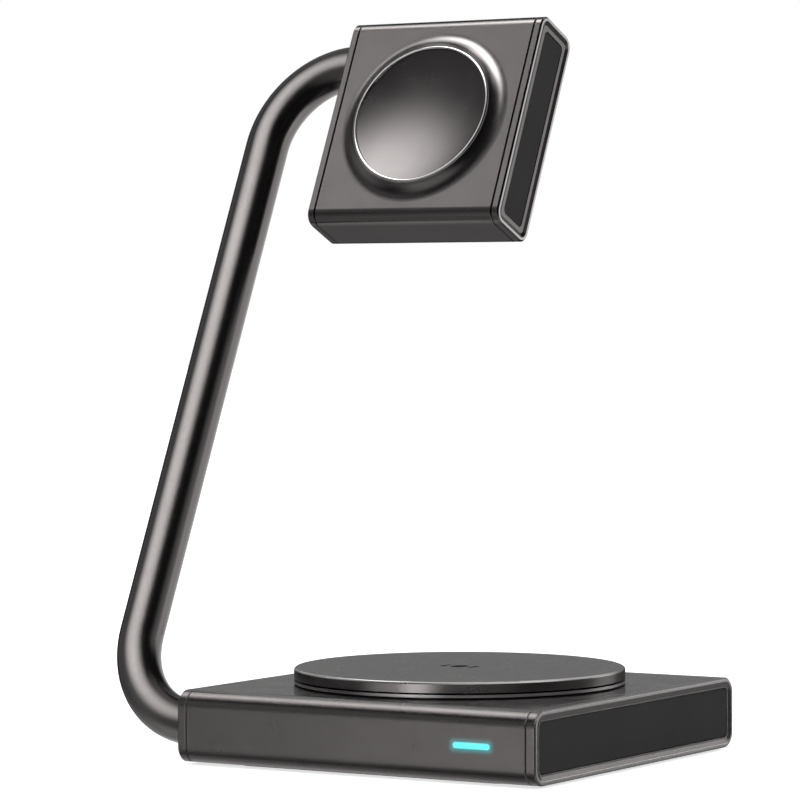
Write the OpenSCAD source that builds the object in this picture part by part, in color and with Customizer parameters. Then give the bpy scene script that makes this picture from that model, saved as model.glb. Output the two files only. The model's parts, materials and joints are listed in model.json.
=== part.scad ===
// Foldable wireless charger: a square base with a round pad, a bent tube arm that folds back,
// and a small square head with a dished face that tilts at the arm's end.
// +X runs to the right along the base's front, +Y to the back, +Z up.
// The origin is on the ground, under the middle of the base.

/* [Base] */
// Width of the base, left to right
base_w = 90; // [84:1:110]
// Depth of the base, front to back
base_d = 90; // [84:1:110]
// Height of the base without its feet
base_h = 15.8; // [15.4:0.1:20]
// Corner radius of the base's section
base_r = 3.6; // [3:0.1:5]
// Wall of the base sleeve
base_wall = 1.6; // [1.3:0.1:1.8]
// Length of each end bezel of the base
base_bezel = 2.4; // [2:0.1:3.5]
// Height of the foot mat below the base
foot_h = 0.6; // [0.4:0.1:1.5]
// Distance from the base's edges to the foot mat
foot_edge = 7; // [6:0.5:8]

/* [Pad] */
// Diameter of the round pad
pad_d = 73.5; // [71:0.5:80]
// Thickness of the pad cover's rim
pad_rim = 2.4; // [1.8:0.1:3]
// Radius of the pad's upper edge
pad_edge_r = 0.6; // [0.3:0.1:1.2]
// Thickness of the bright trim ring under the pad cover
trim_t = 0.6; // [0.3:0.1:0.8]
// Height of the gaps above and below the trim ring
pad_gap = 0.4; // [0.2:0.05:0.6]
// Outer diameter of the pad coil
coil_d = 50; // [36:1:51]

/* [Arm] */
// Outer diameter of the arm tube
tube_d = 10; // [8:0.1:10.4]
// Wall of the arm tube
tube_wall = 1.3; // [0.8:0.1:1.5]
// Distance between the arm's two hinge axes
arm_len = 162.5; // [130:0.5:200]
// Radius of the tube's bends, at its centre line
bend_r = 20.5; // [16:0.5:26]
// Distance from the base's left face to the stem's centre line
stem_out = 21; // [20.5:0.1:30]
// Angle that the arm leans back from upright
lean = 25; // [0:1:60]

/* [Head] */
// Width of the head, left to right
head_w = 50.6; // [48:0.1:66]
// Length of the head, along the arm
head_l = 51.8; // [50:0.1:66]
// Thickness of the head
head_t = 14.5; // [14.2:0.1:18]
// Corner radius of the head's section
head_r = 3; // [2.6:0.1:4]
// Wall of the head sleeve
head_wall = 1.4; // [1.2:0.1:1.5]
// Length of each end bezel of the head
head_bezel = 2; // [1.8:0.1:3]
// Distance from the head's centre up to its hinge axis
hinge_up = 17.4; // [17:0.1:18.5]

/* [Dish] */
// Diameter of the flared boss where it meets the head's face
boss_d = 43; // [40:0.5:45]
// Height of the flared boss
boss_h = 1.8; // [1.2:0.1:2.4]
// Outer diameter of the bright ring
ring_d = 34.6; // [33:0.1:36]
// Width of the bright ring's section
ring_w = 0.7; // [0.5:0.05:1.2]
// Depth of the dish below its own edge
dish_sag = 2; // [1:0.1:2.4]

/* [End faces] */
// Width of the lip around each end face
lip = 0.95; // [0.7:0.05:1.1]
// Width of the sloping wall inside the lip of each right-hand end
slope_w = 1; // [0.6:0.05:1.05]
// Depth of the sloping wall
slope_d = 0.35; // [0.2:0.05:0.5]
// Distance from the base's outline to its right-hand end panel
base_inset = 2.35; // [2.2:0.05:2.8]
// Distance from the head's outline to its right-hand end panel
head_inset = 3; // [2.2:0.05:3.2]
// Width of the seam grooves beside the base's bezels
base_seam = 0.12; // [0.1:0.02:0.3]
// Width of the seam grooves beside the head's bezels
head_seam = 0.2; // [0.1:0.02:0.4]
// Distance of the fine line along the base's front below its rounded edge
line_down = 0.8; // [0.4:0.1:1.5]

/* [Light and inlet] */
// Distance from the base's middle to the light bar, to the right
light_x = 29.6; // [20:0.1:31]
// Length of the light bar
light_w = 9; // [6:0.5:10]
// Height of the light bar
light_h = 1.3; // [1:0.1:2]
// Width of the inlet's steel shell
inlet_w = 8.94; // [8.9:0.01:9]
// Height of the inlet's steel shell
inlet_h = 3.26; // [3.2:0.01:3.3]

/* [Hinges] */
// Diameter of the spindles that turn in the bushes
journal_d = 6; // [5:0.1:6.2]
// Wall of the bushes
bush_wall = 0.8; // [0.6:0.1:1]
// Radial clearance between a spindle and its bush
running_gap = 0.06; // [0.02:0.01:0.1]
// Clearance around the arm tube where it enters the base and the head
tube_gap = 0.3; // [0.3:0.05:0.5]
// Distance of the base's hinge axis behind its front face
hinge_in = 8; // [7.8:0.1:9]
// Length of the tube inside the base
base_tube_in = 9; // [8:0.5:12]
// Length of the tube inside the head
head_tube_in = 5; // [5:0.1:6]

/* [Hidden] */
$fn = 64;
// Clearance between pieces that are fitted or bonded together
fit = 0.05;
// Clearance between pieces that are placed loosely
loose = 0.2;
// Length by which a cut runs past the face it opens
past = 1;

// The base's levels
base_top = foot_h + base_h;
base_mid = foot_h + base_h / 2;
base_floor = foot_h + base_wall;
base_roof = base_top - base_wall;
foot_sink = 0.4;
foot_z = foot_h + foot_sink;
foot_r = 8;

// Sections as width, height, corner radius and wall
base_section = [base_d, base_h, base_r, base_wall];
head_section = [head_t, head_l, head_r, head_wall];
least_r = 0.4;

// Chamfers at a bar's ends, as how far each runs in and how high it rises
plain = [0, 0];
sleeve_edge = [0.15, 0.15];
lip_edge = [0.35, 0.35];
panel_edge = [0.15, 0.15];

// Bezels and end panels
seam_deep = 0.4;
web_t = 0.5;
ledge_w = 0.95;
tongue_t = 0.45;
base_tongue = 4;
head_tongue = 3;
panel_drop = 0.08;
least_panel_r = 1.2;
left_slope_w = 0.15;
left_floor_w = 0.1;
left_inset = lip + left_slope_w + left_floor_w;
line_w = 0.12;
line_deep = 0.1;

// The pad's levels, from the base's top upwards
trim_z = base_top + pad_gap;
trim_top = trim_z + trim_t;
pad_under = trim_top + pad_gap;
pad_top = pad_under + pad_rim;

// The pad's radii, and how far each lies in from the rim
pad_r = pad_d / 2;
groove_in = 0.75;
groove_r = pad_r - groove_in;
foot_ring_in = 2.25;
foot_ring_r = pad_r - foot_ring_in;
neck_in = 3.6;
neck_r = pad_r - neck_in;
plug_in = 5.75;
plug_r = pad_r - plug_in;

// The pad's coil, ferrite and clamp
coil_t = 1.2;
coil_band = 15;
ferrite_t = 0.7;
ferrite_edge = 1.5;
ferrite_r = coil_d / 2 + ferrite_edge;
well_z = pad_under - coil_t - ferrite_t;
well_edge = 1;
well_r = ferrite_r + well_edge;
clamp_t = 1.4;
clamp_in = 7;
clamp_in_r = plug_r - clamp_in;
clamp_out = 3.5;
clamp_out_r = plug_r + clamp_out;
pad_screws = 4;
pad_screw_r = (plug_r + well_r) / 2;
pad_bite = 1.8;
pad_hole = 2.2;

// The arm: its tube's places and its two hinges
tube_r = tube_d / 2;
tube_in_r = tube_r - tube_wall;
left_x = -base_w / 2;
stem_x = left_x - stem_out;
bend_x = stem_x + bend_r;
base_axis_y = -base_d / 2 + hinge_in;
base_tube_x = left_x + base_tube_in;
head_tube_x = left_x + head_tube_in;
port_r = tube_r + tube_gap;
journal_r = journal_d / 2;
bush_in_r = journal_r + running_gap;
bush_r = bush_in_r + bush_wall;
plug_len = 5;
flange_t = 0.8;
washer_t = 0.5;
washer_r = 4.8;
washer_gap = 0.1;
washer_z = flange_t + washer_gap;
block_z = washer_z + washer_t;
base_block_len = 12;
head_block_len = 6;
spring_t = 0.5;
spring_h = 0.9;
spring_r = 4.7;
spring_gap = 0.05;
nut_t = 2.6;
nut_flats = 8.5;
spindle_end = 0.5;
wire_bore_r = 2;
wire_r = 1.6;
wire_end = 4;

// The base's hinge block
block_r = 6.1;
block_foot_t = 2.4;
block_front = hinge_in - base_r - loose;
block_back = 10.5;
block_screw_y = 5.8;
block_screw_x = 3.3;
block_boss_r = 2.4;
block_boss_h = 5.5;

// The head's places
head_x = left_x + head_w / 2;
head_front = -head_t / 2;
head_inner = head_t / 2 - head_wall;
head_block_r = head_inner - fit;
head_block_x = head_tube_x + block_z - head_x;

// The dish in the head's face, heights counted outwards from the face
ring_r = ring_d / 2;
ring_in_r = ring_r - ring_w;
land_w = 0.2;
land_r = ring_r + land_w;
flare_run = boss_d / 2 - land_r;
flare_r = (flare_run * flare_run + boss_h * boss_h) / (2 * boss_h);
ring_seat = 0.3;
ring_out = 0.2;
dish_r = ring_in_r - fit;
dish_drop = 0.25;
dish_edge = boss_h - dish_drop;
dish_land = 0.15;
hollow_r = dish_r - dish_land;
dish_round = (hollow_r * hollow_r + dish_sag * dish_sag) / (2 * dish_sag);
dish_skin = 1.1;
dish_wall = 1.2;
dish_flange_w = 0.5;
dish_flange_r = ring_in_r + dish_flange_w;
dish_flange_t = 0.8;
press_w = 1.9;
head_ferrite_r = dish_flange_r - press_w;
head_coil_edge = 1;
head_coil_r = head_ferrite_r - head_coil_edge;
head_coil_in_r = 5;
head_coil_t = 1;
head_ferrite_t = 0.8;
magnet_r = 4.5;
magnet_t = 0.9;
coil_y = -head_inner + dish_flange_t + fit;
ferrite_y = coil_y + head_coil_t;
chassis_y = ferrite_y + head_ferrite_t;

// The head's chassis and board
chassis_t = 1;
chassis_side = 0.3;
chassis_w = head_w - 2 * (head_bezel + head_tongue + chassis_side);
chassis_end = 1;
chassis_low = -head_l / 2 + head_wall + chassis_end;
chassis_clear = 0.7;
chassis_high = hinge_up - head_block_r - chassis_clear;
head_post_h = 3.2;
head_post_r = 2;
head_post_edge = 2.5;
head_post_top = 3.5;
head_post_x = chassis_w / 2 - head_post_edge;
head_post_low = chassis_low + head_post_edge;
head_post_high = chassis_high - head_post_top;
head_board_t = 1;
head_board_edge = 0.5;
head_bite = 2.6;

// The tray, the weight and the board in the base
tray_t = 1.2;
tray_gap = 0.6;
tray_x = base_w / 2 - base_bezel - base_tongue - tray_gap;
tray_y = base_d / 2 - base_r - loose;
tray_rim_t = 1;
tray_rim_h = 2;
hinge_room_x = 6;
hinge_room_y = 2;
tray_step_x = base_tube_x + block_z + base_block_len + 2 * spring_h + nut_t + hinge_room_x;
tray_step_y = base_axis_y + block_back + hinge_room_y;
tray_top = base_floor + tray_t;
tray_screw_in_x = 10;
tray_screw_in_y = 12;
tray_screw_x = tray_x - tray_screw_in_x;
tray_screw_y = base_d / 2 - tray_screw_in_y;
tray_boss_r = 2.2;
tray_boss_h = 3;
board_t = 1.2;
board_z = base_mid - board_t / 2;
board_side = 2;
board_back_gap = 1.8;
board_x = tray_x - board_side;
board_back = tray_y - tray_rim_t - board_back_gap;
board_front = -10;
post_r = 2.5;
post_in = 4;
post_x = board_x - post_in;
post_front = board_front + post_in;
post_back = board_back - post_in;
post_hole = 4;
post_bite = 3;
weight_gap = 1.5;
weight_w = 2 * (tray_screw_x - tray_boss_r - weight_gap);
weight_front = tray_step_y + tray_rim_t + weight_gap;
weight_back = tray_screw_y - tray_boss_r - weight_gap;
weight_y = (weight_front + weight_back) / 2;
weight_t = 3.2;
weight_r = 4;
pin_r = 2;
pin_in = 8;
pin_x = weight_w / 2 - pin_in;

// The parts on the main board, as places and sizes
chip_w = 7;
chip_t = 0.9;
chip_y = 6;
chip_xs = [-18, 16];
choke_d = 7.5;
choke_h = 2.6;
choke_y = 2;
choke_xs = [-10, 2];
cap_size = [3.2, 1.6, 1.2];
cap_step = 5;
cap_x = -24;
cap_y = 22;
caps = 4;

// The light bar and the inlet
guide_flange = 1.5;
guide_flange_t = 1;
light_board_t = 0.8;
light_board_w = 14;
light_board_foot = 8;
light_board_up = 3;
light_board_top = base_mid + light_board_up;
light_board_y = -tray_y + tray_rim_t + fit;
lamp_w = 1.6;
lamp_y = -base_d / 2 + base_wall + guide_flange_t + loose;
inlet_len = 7.35;
inlet_wall = 0.25;
inlet_sink = 0.3;
inlet_back = base_d / 2 - inlet_sink;
inlet_root = 1.2;
inlet_tongue_w = 6.7;
inlet_tongue_h = 0.7;
inlet_tongue_len = 6.35;

// Screws as shank radius, head radius and head height
screw_r = 1;
screw_head_r = 2;
screw_head_h = 0.6;
screw_socket_r = 0.8;
tip_gap = 0.2;
blind_roof = 0.6;
tray_hole_top = tray_top + tray_boss_h - blind_roof;
block_hole_top = base_floor + block_boss_h - blind_roof;

// One side of a bar's profile, from its foot to its top, with a chamfer at each end
function bar_side(half, length, foot, top) = concat(
    foot[1] > 0 ? [[half - foot[0], 0], [half, foot[1]]] : [[half, 0]],
    top[1] > 0 ? [[half, length - top[1]], [half - top[0], length]] : [[half, length]]);

// That side and its mirror image, as a closed outline
function both_sides(side) = concat(side, [for (i = [len(side) - 1 : -1 : 0]) [-side[i][0], side[i][1]]]);

// A bar with a rounded rectangular section, standing on its foot
module bar(w, h, r, length, foot = plain, top = plain) {
    rotate([90, 0, 0]) linear_extrude(h - 2 * r, center = true)
        polygon(both_sides(bar_side(w / 2, length, foot, top)));
    rotate([90, 0, 90]) linear_extrude(w - 2 * r, center = true)
        polygon(both_sides(bar_side(h / 2, length, foot, top)));
    for (x = [-1, 1], y = [-1, 1])
        translate([x * (w / 2 - r), y * (h / 2 - r), 0])
            rotate_extrude() polygon(concat([[0, 0]], bar_side(r, length, foot, top), [[0, length]]));
}

// A bar along X with a section's outline, drawn in by an inset
module section_bar(section, inset, x0, x1, foot = plain, top = plain)
    translate([x0, 0, 0]) rotate([90, 0, 90])
        bar(section[0] - 2 * inset, section[1] - 2 * inset, max(section[2] - inset, least_r),
            x1 - x0, foot, top);

// An open sleeve along X
module open_sleeve(section, half) difference() {
    section_bar(section, 0, -half, half, sleeve_edge, sleeve_edge);
    section_bar(section, section[3], -half - past, half + past);
}

// The outline of an end panel, as a section of its own
function panel_outline(section, inset) =
    [section[0] - 2 * inset, section[1] - 2 * inset, max(section[2] - inset, least_panel_r), 0];

// A right-hand end bezel: a lip, a wall that slopes in from it, a pocket for the panel with a
// ledge behind it, and a tongue that enters the sleeve
module bezel(section, end, length, tongue, seam_w, slope, inset) {
    seam = end - length;
    tongue_in = section[3] + fit;
    pocket = panel_outline(section, inset);
    difference() {
        union() {
            section_bar(section, 0, seam + seam_w, end, sleeve_edge, lip_edge);
            section_bar(section, seam_deep, seam, seam + web_t);
            section_bar(section, tongue_in, seam - tongue, seam + web_t);
        }
        section_bar(section, lip, end - slope_d, end + past, [slope, slope_d]);
        section_bar(pocket, 0, seam + web_t, end);
        section_bar(pocket, ledge_w, seam - past, end);
        section_bar(section, tongue_in + tongue_t, seam - tongue - past, seam);
    }
}

// A right-hand end panel: a plate in the bezel's pocket
module end_panel(section, end, length, inset)
    section_bar(panel_outline(section, inset), fit, end - length + web_t, end - slope_d - panel_drop,
        plain, panel_edge);

// A flat oval outline
module oval(w, h) {
    square([w - h, h], center = true);
    for (side = [-1, 1]) translate([side * (w - h) / 2, 0]) circle(d = h);
}

// A flat rectangle with round corners
module round_plate(w, d, r) {
    square([w - 2 * r, d], center = true);
    square([w, d - 2 * r], center = true);
    for (x = [-1, 1], y = [-1, 1]) translate([x * (w / 2 - r), y * (d / 2 - r)]) circle(r);
}

// A turned ring about the Z axis
module ring(r_in, r_out, z0, z1)
    rotate_extrude() translate([r_in, z0]) square([r_out - r_in, z1 - z0]);

// A screw that points up, with its head's top face at the origin's level
module screw(length) difference() {
    union() {
        cylinder(r = screw_head_r, h = screw_head_h);
        cylinder(r = screw_r, h = screw_head_h + length);
    }
    translate([0, 0, -past]) cylinder(r = screw_socket_r, h = past + screw_head_h, $fn = 6);
}

// Places in the base
module at_base() translate([0, 0, base_mid]) children();

module at_posts(z)
    for (x = [-post_x, post_x], y = [post_front, post_back]) translate([x, y, z]) children();

// Three screws: the hinge takes up the fourth corner
module at_tray_screws(z)
    for (side = [[1, -1], [1, 1], [-1, 1]])
        translate([side[0] * tray_screw_x, side[1] * tray_screw_y, z]) children();

module at_hinge_screws(z)
    for (x = [block_screw_x, base_block_len - block_screw_x])
        translate([base_tube_x + block_z + x, base_axis_y + block_screw_y, z]) children();

module at_pad_screws(z)
    for (i = [0 : pad_screws - 1])
        rotate([0, 0, 45 + i * 360 / pad_screws]) translate([pad_screw_r, 0, z]) children();

module at_light(y)
    translate([light_x, y, base_mid]) rotate([-90, 0, 0]) children();

module at_inlet(y)
    translate([0, y, base_mid]) rotate([-90, 0, 0]) children();

// The arm's plane: origin on the base's hinge axis, +Z up the stem
module on_arm()
    translate([0, base_axis_y, base_mid]) rotate([-lean, 0, 0]) children();

// A hinge's own axis: +Z runs inwards along X from the tube's end
module at_base_hinge() on_arm() translate([base_tube_x, 0, 0]) rotate([0, 90, 0]) children();

module at_head_hinge() on_arm() translate([head_tube_x, 0, arm_len]) rotate([0, 90, 0]) children();

// The head's middle: +Z up the head, and its face towards -Y
module on_head()
    on_arm() translate([head_x, 0, arm_len - hinge_up]) children();

// The head's face: +Z outwards from the face, at the middle of the dish
module on_face() on_head() translate([0, head_front, 0]) rotate([90, 0, 0]) children();

// The head's inside: +Z towards the back, from a distance behind the middle
module behind(y) on_head() translate([0, y, 0]) rotate([-90, 0, 0]) children();

module at_head_posts(y)
    for (x = [-head_post_x, head_post_x], z = [head_post_low, head_post_high])
        on_head() translate([x, y, z]) rotate([-90, 0, 0]) children();

// The path of the arm, as a round bar of radius r that ends at two places inside
module arm_path(r, low_x, high_x) {
    translate([bend_x, 0, 0]) rotate([0, 90, 0]) cylinder(r = r, h = low_x - bend_x);
    translate([bend_x, 0, bend_r]) rotate([90, 0, 0]) rotate([0, 0, 180])
        rotate_extrude(angle = 90) translate([bend_r, 0]) circle(r);
    translate([stem_x, 0, bend_r]) cylinder(r = r, h = arm_len - 2 * bend_r);
    translate([bend_x, 0, arm_len - bend_r]) rotate([90, 0, 0]) rotate([0, 0, 90])
        rotate_extrude(angle = 90) translate([bend_r, 0]) circle(r);
    translate([bend_x, 0, arm_len]) rotate([0, 90, 0]) cylinder(r = r, h = high_x - bend_x);
}

// Hinge pieces, each along +Z from the tube's end
function spring_z(block_len) = block_z + block_len + spring_gap;
function nut_z(block_len) = spring_z(block_len) + 2 * spring_h;
function spindle_z(block_len) = nut_z(block_len) + nut_t + spindle_end;

module spindle(block_len) difference() {
    union() {
        translate([0, 0, -plug_len]) cylinder(r = tube_in_r - fit, h = plug_len);
        cylinder(r = tube_r - fit, h = flange_t);
        cylinder(r = journal_r, h = spindle_z(block_len));
    }
    translate([0, 0, -plug_len - past])
        cylinder(r = wire_bore_r, h = plug_len + spindle_z(block_len) + 2 * past);
}

module bush(block_len) ring(bush_in_r, bush_r - fit, block_z, block_z + block_len);

module washer() ring(bush_in_r, washer_r, washer_z, block_z);

// Two disc springs, hollow sides facing each other
module springs(block_len) {
    cone = spring_h - spring_t;
    translate([0, 0, spring_z(block_len)]) rotate_extrude()
        polygon([[bush_in_r, cone], [spring_r, 0], [spring_r, spring_t], [bush_in_r, spring_h]]);
    translate([0, 0, spring_z(block_len) + spring_h]) rotate_extrude()
        polygon([[bush_in_r, 0], [spring_r, cone], [spring_r, spring_h], [bush_in_r, spring_t]]);
}

module nut(block_len) difference() {
    translate([0, 0, nut_z(block_len)]) cylinder(d = nut_flats / cos(30), h = nut_t, $fn = 6);
    translate([0, 0, nut_z(block_len) - past]) cylinder(r = journal_r + fit, h = nut_t + 2 * past);
}

// Base

module base_sleeve() color("#6b6565") difference() {
    at_base() open_sleeve(base_section, base_w / 2 - base_bezel);
    translate([0, 0, base_roof - past]) cylinder(r = plug_r + loose, h = base_wall + 2 * past);
    at_light(-base_d / 2 - past) linear_extrude(base_wall + 2 * past)
        oval(light_w + 2 * fit, light_h + 2 * fit);
    at_inlet(base_d / 2 - base_wall - past) linear_extrude(base_wall + 2 * past)
        oval(inlet_w + 2 * loose, inlet_h + 2 * loose);
    translate([0, 0, foot_h - past]) linear_extrude(past + foot_sink) foot_outline(foot_edge - fit);
    at_tray_screws(0) screw_room();
    at_hinge_screws(0) screw_room();
    translate([-base_w / 2, -base_d / 2 - past, base_top - base_r - line_down])
        cube([base_w, past + line_deep, line_w]);
}

// The counterbore and hole that a screw from below takes in the base's floor
module screw_room() {
    cylinder(r = screw_head_r + loose, h = foot_z + screw_head_h);
    cylinder(r = screw_r + fit, h = base_floor + past);
}

module base_right_bezel() color("#5f5a5a") at_base()
    bezel(base_section, base_w / 2, base_bezel, base_tongue, base_seam, slope_w, base_inset);

module base_left_bezel() color("#5f5a5a") difference() {
    at_base() mirror([1, 0, 0])
        bezel(base_section, base_w / 2, base_bezel, base_tongue, base_seam, left_slope_w, left_inset);
    base_port();
}

module base_right_panel() color("#2c2a2b") at_base()
    end_panel(base_section, base_w / 2, base_bezel, base_inset);

module base_left_panel() color("#2c2a2b") difference() {
    at_base() mirror([1, 0, 0]) end_panel(base_section, base_w / 2, base_bezel, left_inset);
    base_port();
}

// The hole in the base's left end, where the tube goes in
module base_port() translate([left_x - past, base_axis_y, base_mid]) rotate([0, 90, 0])
    cylinder(r = port_r, h = base_bezel + base_tongue + 2 * past);

// Pad

module pad_cover() color("#6d6969") rotate_extrude() {
    polygon([[0, pad_under], [neck_r + loose, pad_under], [neck_r + loose, trim_top],
        [groove_r, trim_top], [groove_r, pad_under], [pad_r, pad_under], [pad_r, pad_top - pad_edge_r],
        [pad_r - pad_edge_r, pad_top - pad_edge_r], [pad_r - pad_edge_r, pad_top], [0, pad_top]]);
    translate([pad_r - pad_edge_r, pad_top - pad_edge_r]) circle(pad_edge_r);
}

module pad_trim_ring() color("#c9c6c4") ring(neck_r + loose, pad_r, trim_z, trim_top);

module pad_carrier() color("#1d1c1d") difference() {
    rotate_extrude() polygon([
        [0, base_roof], [plug_r, base_roof], [plug_r, base_top], [foot_ring_r, base_top],
        [foot_ring_r, trim_z], [neck_r, trim_z], [neck_r, pad_under], [0, pad_under]]);
    translate([0, 0, well_z]) cylinder(r = well_r, h = pad_under - well_z + past);
    at_pad_screws(base_roof - past) cylinder(r = screw_r + fit, h = past + pad_hole);
}

module pad_coil() color("#b06a3c")
    ring(coil_d / 2 - coil_band, coil_d / 2, well_z + ferrite_t, pad_under);

module pad_ferrite() color("#333336") translate([0, 0, well_z]) cylinder(r = ferrite_r, h = ferrite_t);

module pad_clamp() color("#232223") difference() {
    ring(clamp_in_r, clamp_out_r, base_roof - clamp_t, base_roof);
    at_pad_screws(base_roof - clamp_t - past) cylinder(r = screw_r + fit, h = clamp_t + 2 * past);
}

module pad_clamp_screws() color("#8d8f92")
    at_pad_screws(base_roof - clamp_t - screw_head_h) screw(clamp_t + pad_bite);

// Inside the base

// The tray's outline: it steps back on the left to leave room for the hinge
module tray_outline(inset) {
    translate([-tray_x + inset, tray_step_y + inset])
        square([2 * (tray_x - inset), tray_y - tray_step_y - 2 * inset]);
    translate([tray_step_x + inset, -tray_y + inset])
        square([tray_x - tray_step_x - 2 * inset, 2 * (tray_y - inset)]);
}

module chassis_tray() color("#242324") difference() {
    union() {
        translate([0, 0, base_floor]) linear_extrude(tray_t) tray_outline(0);
        translate([0, 0, base_floor]) linear_extrude(tray_t + tray_rim_h) difference() {
            tray_outline(0);
            tray_outline(tray_rim_t);
        }
        at_posts(base_floor) cylinder(r = post_r, h = board_z - base_floor);
        at_tray_screws(base_floor) cylinder(r = tray_boss_r, h = tray_t + tray_boss_h);
        for (x = [-pin_x, pin_x])
            translate([x, weight_y, base_floor]) cylinder(r = pin_r, h = tray_t + weight_t);
    }
    at_posts(board_z - post_hole) cylinder(r = screw_r + fit, h = post_hole + past);
    at_tray_screws(0) cylinder(r = screw_r + fit, h = tray_hole_top);
}

// The length of a screw from below whose tip stops short of its hole's end
function screw_length(hole_top) = hole_top - tip_gap - foot_z - screw_head_h;

module tray_screws() color("#8d8f92") at_tray_screws(foot_z) screw(screw_length(tray_hole_top));

module counterweight() color("#7c7f82") difference() {
    translate([0, weight_y, tray_top])
        linear_extrude(weight_t) round_plate(weight_w, weight_back - weight_front, weight_r);
    for (x = [-pin_x, pin_x])
        translate([x, weight_y, tray_top - past])
            cylinder(r = pin_r + loose, h = weight_t + 2 * past);
}

module main_board() color("#1f4d33") difference() {
    translate([-board_x, board_front, board_z]) cube([2 * board_x, board_back - board_front, board_t]);
    at_posts(board_z - past) cylinder(r = screw_r + fit, h = board_t + 2 * past);
    translate([-inlet_w / 2 - loose, inlet_back - inlet_len - loose, board_z - past])
        cube([inlet_w + 2 * loose, inlet_len + past, board_t + 2 * past]);
}

// Two chips, two chokes and a row of capacitors on the board
module board_parts() color("#2b2b2d") translate([0, 0, board_z + board_t]) {
    for (x = chip_xs) translate([x, chip_y, 0]) cube([chip_w, chip_w, chip_t]);
    for (x = choke_xs) translate([x, choke_y, 0]) cylinder(d = choke_d, h = choke_h);
    for (i = [0 : caps - 1]) translate([cap_x + cap_step * i, cap_y, 0]) cube(cap_size);
}

module board_screws() color("#8d8f92")
    at_posts(board_z + board_t + screw_head_h) mirror([0, 0, 1]) screw(board_t + post_bite);

module inlet_shell() color("#b9bcc0") at_inlet(inlet_back - inlet_len) difference() {
    linear_extrude(inlet_len) oval(inlet_w, inlet_h);
    translate([0, 0, inlet_wall]) linear_extrude(inlet_len)
        oval(inlet_w - 2 * inlet_wall, inlet_h - 2 * inlet_wall);
}

module inlet_tongue() color("#141415") at_inlet(inlet_back - inlet_len + inlet_wall) {
    linear_extrude(inlet_root) oval(inlet_w - 2 * (inlet_wall + fit), inlet_h - 2 * (inlet_wall + fit));
    translate([-inlet_tongue_w / 2, -inlet_tongue_h / 2, 0])
        cube([inlet_tongue_w, inlet_tongue_h, inlet_tongue_len]);
}

module light_guide() color("#63e6e6") {
    at_light(-base_d / 2 + fit) linear_extrude(base_wall) oval(light_w, light_h);
    at_light(-base_d / 2 + base_wall + fit) linear_extrude(guide_flange_t)
        oval(light_w + 2 * guide_flange, light_h + 2 * guide_flange);
}

// A small upright board with two lamps, standing on the tray
module light_board() color("#24583a") {
    translate([light_x - light_board_w / 2, light_board_y, tray_top])
        cube([light_board_foot, light_board_t, light_board_top - tray_top]);
    translate([light_x - light_board_w / 2, light_board_y, base_mid - light_board_up])
        cube([light_board_w, light_board_t, 2 * light_board_up]);
    for (x = [-light_w / 4, light_w / 4])
        translate([light_x + x - lamp_w / 2, lamp_y, base_mid - lamp_w / 2])
            cube([lamp_w, light_board_y + light_board_t - lamp_y, lamp_w]);
}

module foot_outline(edge) round_plate(base_w - 2 * edge, base_d - 2 * edge, foot_r);

module foot_mat() color("#1a1a1b") linear_extrude(foot_z) foot_outline(foot_edge);

// Hinge in the base

module hinge_block() color("#8f9195") difference() {
    union() {
        at_block(0) cylinder(r = block_r, h = base_block_len);
        translate([base_tube_x + block_z, base_axis_y - block_front, base_floor])
            cube([base_block_len, block_front + block_back, block_foot_t]);
        translate([base_tube_x + block_z, base_axis_y - block_front, base_floor])
            cube([base_block_len, block_front + block_r, base_mid - base_floor]);
        at_hinge_screws(base_floor) cylinder(r = block_boss_r, h = block_boss_h);
    }
    at_block(-past) cylinder(r = bush_r, h = base_block_len + 2 * past);
    at_hinge_screws(0) cylinder(r = screw_r + fit, h = block_hole_top);
}

// The base block's axis, without the arm's lean
module at_block(z)
    translate([base_tube_x + block_z + z, base_axis_y, base_mid]) rotate([0, 90, 0]) children();

module hinge_screws() color("#8d8f92") at_hinge_screws(foot_z) screw(screw_length(block_hole_top));

module base_bush() color("#d8d2c0") at_base_hinge() bush(base_block_len);

module base_washer() color("#b58d4f") at_base_hinge() washer();

// Arm

module arm_tube() color("#77716f") on_arm() difference() {
    arm_path(tube_r, base_tube_x, head_tube_x);
    arm_path(tube_in_r, base_tube_x + past, head_tube_x + past);
}

module base_spindle() color("#a9acb0") at_base_hinge() spindle(base_block_len);

module base_springs() color("#9a9da1") at_base_hinge() springs(base_block_len);

module base_nut() color("#a2a5a9") at_base_hinge() nut(base_block_len);

module head_spindle() color("#a9acb0") at_head_hinge() spindle(head_block_len);

module head_springs() color("#9a9da1") at_head_hinge() springs(head_block_len);

module head_nut() color("#a2a5a9") at_head_hinge() nut(head_block_len);

module arm_wires() color("#303033") on_arm()
    arm_path(wire_r, base_tube_x + spindle_z(base_block_len) + wire_end,
        head_tube_x + spindle_z(head_block_len) + wire_end);

// Head

// The boss on the head's face, which flares up in a hollow curve to the ring's seat
module flared_boss() rotate_extrude() difference() {
    translate([ring_in_r, -head_wall]) square([boss_d / 2 - ring_in_r, head_wall + boss_h]);
    translate([boss_d / 2, flare_r]) circle(flare_r, $fn = 96);
}

module head_sleeve() color("#736e6d") difference() {
    union() {
        on_head() open_sleeve(head_section, head_w / 2 - head_bezel);
        on_face() flared_boss();
    }
    on_face() translate([0, 0, -head_wall - past])
        cylinder(r = ring_in_r, h = head_wall + boss_h + 2 * past);
    on_face() translate([0, 0, ring_seat]) cylinder(r = ring_r + fit, h = boss_h + past);
}

module head_right_bezel() color("#5f5a5a") on_head()
    bezel(head_section, head_w / 2, head_bezel, head_tongue, head_seam, slope_w, head_inset);

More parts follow.
